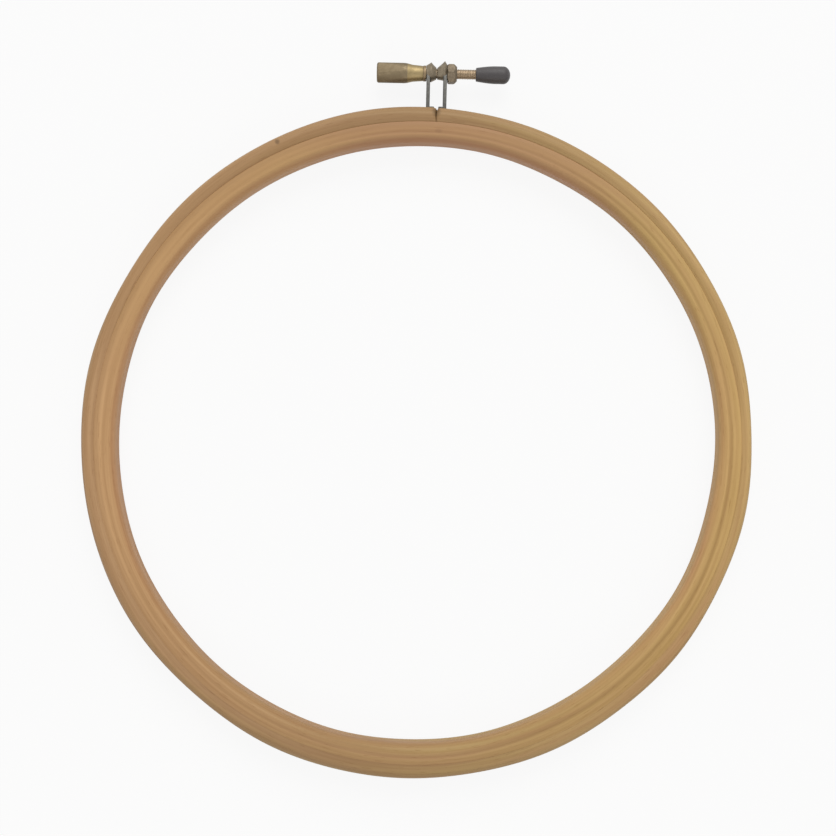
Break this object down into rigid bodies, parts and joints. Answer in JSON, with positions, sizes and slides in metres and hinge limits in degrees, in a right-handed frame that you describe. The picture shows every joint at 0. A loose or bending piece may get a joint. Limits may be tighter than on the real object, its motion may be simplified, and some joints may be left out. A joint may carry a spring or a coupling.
{
  "type": "embroidery hoop",
  "caption": "Round wooden screw hoop: an inner ring seated in a split outer ring, closed by a thumb screw through two steel brackets.",
  "frame": {"origin": "middle of the bounding box at its base: the hoop lies on its back, and the clamp's reach moves the origin 7.2 mm from the rings' own centre towards the clamp", "axes": "+Z out of the hoop's front face, +Y from the rings' centre towards the split and the clamp, +X towards the nut and the end cap"},
  "size_m": [0.203, 0.2174, 0.011],
  "materials": {
    "outer_ring_wood": "satin varnish over straight grain that runs round the ring",
    "inner_ring_wood": "satin varnish over straight grain that runs round the ring",
    "bracket_steel": "dull drawn strip",
    "knob_brass": "dull grip, polished taper and neck",
    "screw_brass": "rolled thread, slightly tarnished",
    "washer_steel": "dull stamped washer",
    "nut_steel": "dull turned nut",
    "cap_rubber": "matt moulded rubber with a soft sheen"
  },
  "bodies": {
    "hoop_frame": {"outer_ring": "outer_ring_wood", "left_bracket": "bracket_steel", "right_bracket": "bracket_steel", "left_bracket_pin": "bracket_steel", "right_bracket_pin": "bracket_steel", "clamp_nut": "nut_steel"},
    "loose_ring": {"inner_ring": "inner_ring_wood"},
    "washer": {"knob_washer": "washer_steel"},
    "thumb_screw": {"thumb_knob": "knob_brass", "clamp_screw": "screw_brass", "screw_end_cap": "cap_rubber"}
  },
  "joints": [
    {"name": "inner_ring_lift", "type": "slide", "parent": "hoop_frame", "child": "loose_ring", "axis": [0, 0, 1], "range_m": [0, 0.03]},
    {"name": "screw_travel", "type": "slide", "parent": "hoop_frame", "child": "washer", "axis": [-0.9994, -0.0349, 0], "range_m": [0, 0.005]},
    {"name": "screw_turn", "type": "hinge", "parent": "washer", "child": "thumb_screw", "pos_m": [-0.00036, 0.10473, 0.0055], "axis": [-0.9994, -0.0349, 0], "range_deg": [0, 3600]}
  ],
  "couplings": [
    {"joint": "screw_travel", "follows": "screw_turn", "m_per_rad": 0.000079577}
  ]
}
